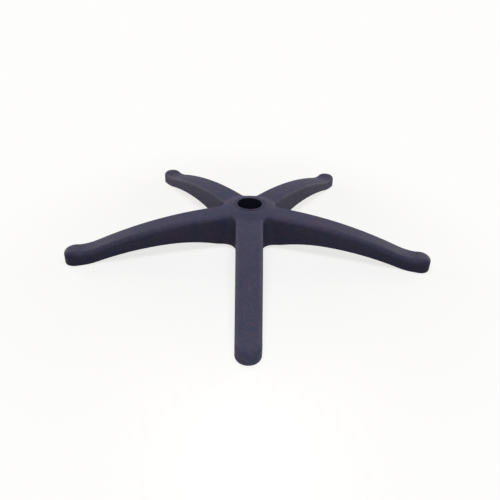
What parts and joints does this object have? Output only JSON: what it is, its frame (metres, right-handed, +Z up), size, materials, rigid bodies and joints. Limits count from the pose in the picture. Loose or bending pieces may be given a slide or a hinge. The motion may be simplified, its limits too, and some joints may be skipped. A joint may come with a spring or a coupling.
{
  "type": "swivel chair base",
  "caption": "One-piece star base for a swivel chair: a hub socket for the gas lift and low curved arms with a caster socket in each foot.",
  "frame": {"origin": "on the hub axis, in the plane of the mouth of the gas lift socket", "axes": "+Z up along the hub axis, out of the socket; one arm points to -Y, so that base's left and right are -X and +X"},
  "size_m": [0.6676, 0.6368, 0.0742],
  "materials": {
    "nylon": "fine matt moulded texture"
  },
  "bodies": {
    "root": {"star_base": "nylon"}
  },
  "joints": []
}
